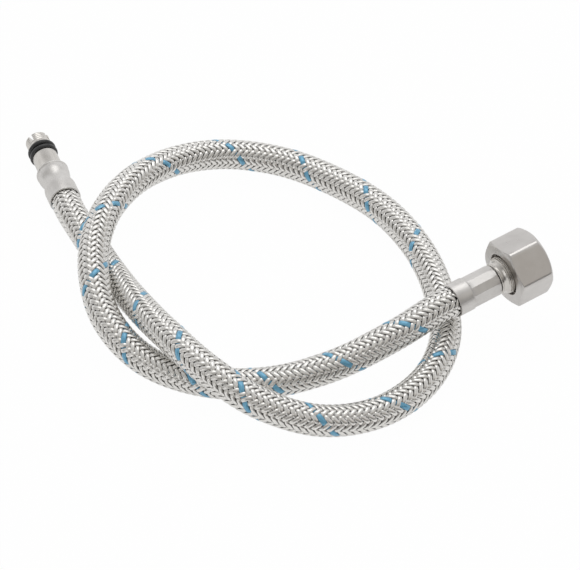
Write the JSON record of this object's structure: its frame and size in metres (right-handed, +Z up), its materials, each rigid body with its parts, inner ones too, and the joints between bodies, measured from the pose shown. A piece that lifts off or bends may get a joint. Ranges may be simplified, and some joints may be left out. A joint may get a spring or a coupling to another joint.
{
  "type": "braided flexible tap connector",
  "caption": "Braided steel flexible tap hose with a slotted M10 tail and O-rings at one end and a swivel hexagon nut at the other, lying in a loose loop.",
  "frame": {"origin": "on the floor, under the middle of the box round the two end fittings", "axes": "+Z up; the hose lies flat in a loose loop, +X runs from the M10 end towards the nut end, and the picture was taken from the -Y side"},
  "size_m": [0.206, 0.1621, 0.0352],
  "materials": {
    "plated_brass": "nickel plated, turned",
    "nut_nickel": "nickel plated, bright",
    "ferrule_steel": "satin",
    "braid_steel": "bright woven wire",
    "seal_rubber": "smooth",
    "hose_rubber": "matt"
  },
  "bodies": {
    "hose": {"m10_tail": "plated_brass", "o_ring_inner": "seal_rubber", "o_ring_outer": "seal_rubber", "m10_ferrule": "ferrule_steel", "nut_tail": "plated_brass", "nut_ferrule": "ferrule_steel", "inner_hose": "hose_rubber", "braid_sleeve": "braid_steel"},
    "nut": {"hex_nut": "nut_nickel", "sealing_washer": "seal_rubber"}
  },
  "joints": [
    {"name": "nut_swivel", "type": "hinge", "parent": "hose", "child": "nut", "pos_m": [0.0648, -0.0501, 0.0192], "axis": [0.8482, 0.5238, 0.0785], "continuous": true}
  ]
}
